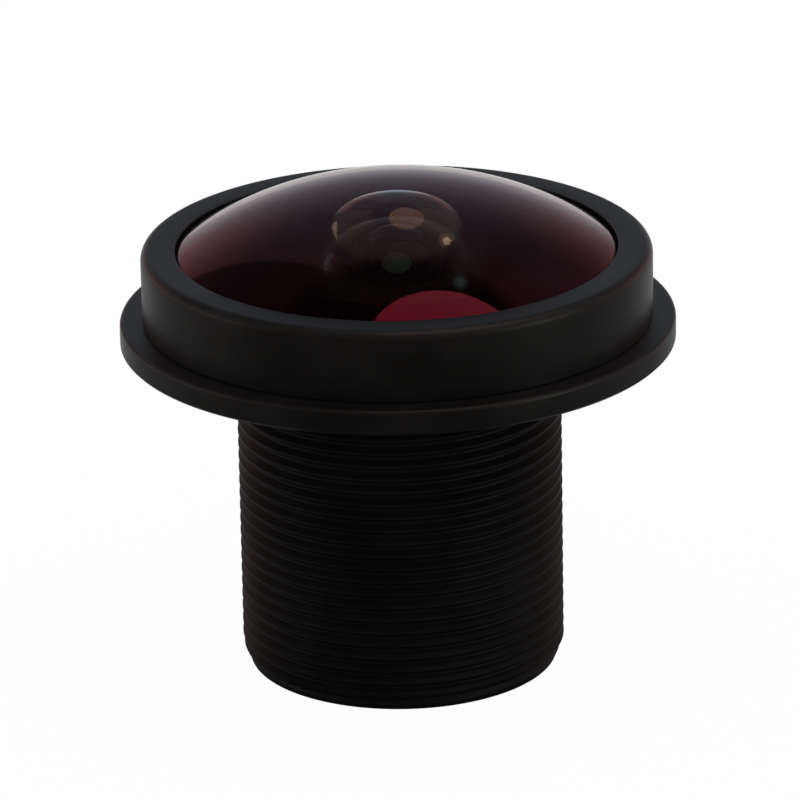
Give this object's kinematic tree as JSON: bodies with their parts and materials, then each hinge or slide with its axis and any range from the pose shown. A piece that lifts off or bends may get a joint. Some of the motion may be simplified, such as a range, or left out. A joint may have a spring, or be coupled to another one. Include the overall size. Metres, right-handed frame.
{
  "type": "fisheye lens",
  "caption": "Fisheye lens for a board camera: domed front glass in a screwed ring, thin flange, threaded barrel, and the glasses, spacers, stop and filter stacked inside.",
  "frame": {"origin": "centre of the barrel's rear end, on which the lens stands", "axes": "+Z along the optical axis, towards the dome; the part is round about it, apart from the spanner slots, which lie along X"},
  "size_m": [0.0204, 0.0204, 0.0183],
  "materials": {
    "black_anodised": "satin black anodised, turned",
    "matt_black_spacer": "matt black anodised",
    "black_film": "black film",
    "blackened_stop": "blackened sheet",
    "coated_glass": "polished, with a mauve and red anti-reflection coating",
    "filter_glass": "polished, pale cyan infrared filter",
    "seal_rubber": "smooth black rubber"
  },
  "bodies": {
    "lens_body": {"barrel": "black_anodised", "front_element": "coated_glass", "seal_ring": "seal_rubber", "inner_ring": "black_anodised", "second_element": "coated_glass", "spacer_second_third": "black_film", "third_element": "coated_glass", "spacer_third_fourth": "matt_black_spacer", "fourth_element": "coated_glass", "spacer_fourth_stop": "matt_black_spacer", "aperture_stop": "blackened_stop", "spacer_stop_doublet": "matt_black_spacer", "doublet_crown": "coated_glass", "doublet_flint": "coated_glass", "spacer_doublet_rear": "matt_black_spacer", "rear_element": "coated_glass"},
    "slip_washer": {"lip_washer": "black_film"},
    "front_ring": {"front_ring": "black_anodised"},
    "filter": {"infrared_filter": "filter_glass", "filter_washer": "black_film"},
    "rear_ring": {"rear_ring": "black_anodised"}
  },
  "joints": [
    {"name": "front_ring_rise", "type": "slide", "parent": "lens_body", "child": "slip_washer", "axis": [0, 0, 1], "range_m": [0, 0.0015]},
    {"name": "front_ring_turn", "type": "hinge", "parent": "slip_washer", "child": "front_ring", "pos_m": [0, 0, 0.01338], "axis": [0, 0, 1], "range_deg": [0, 1080]},
    {"name": "rear_ring_drop", "type": "slide", "parent": "lens_body", "child": "filter", "axis": [0, 0, -1], "range_m": [0, 0.001]},
    {"name": "rear_ring_turn", "type": "hinge", "parent": "filter", "child": "rear_ring", "pos_m": [0, 0, 0.00017], "axis": [0, 0, -1], "range_deg": [0, 720]}
  ],
  "couplings": [
    {"joint": "front_ring_turn", "follows": "front_ring_rise", "rad_per_m": 12566},
    {"joint": "rear_ring_turn", "follows": "rear_ring_drop", "rad_per_m": 12566}
  ]
}
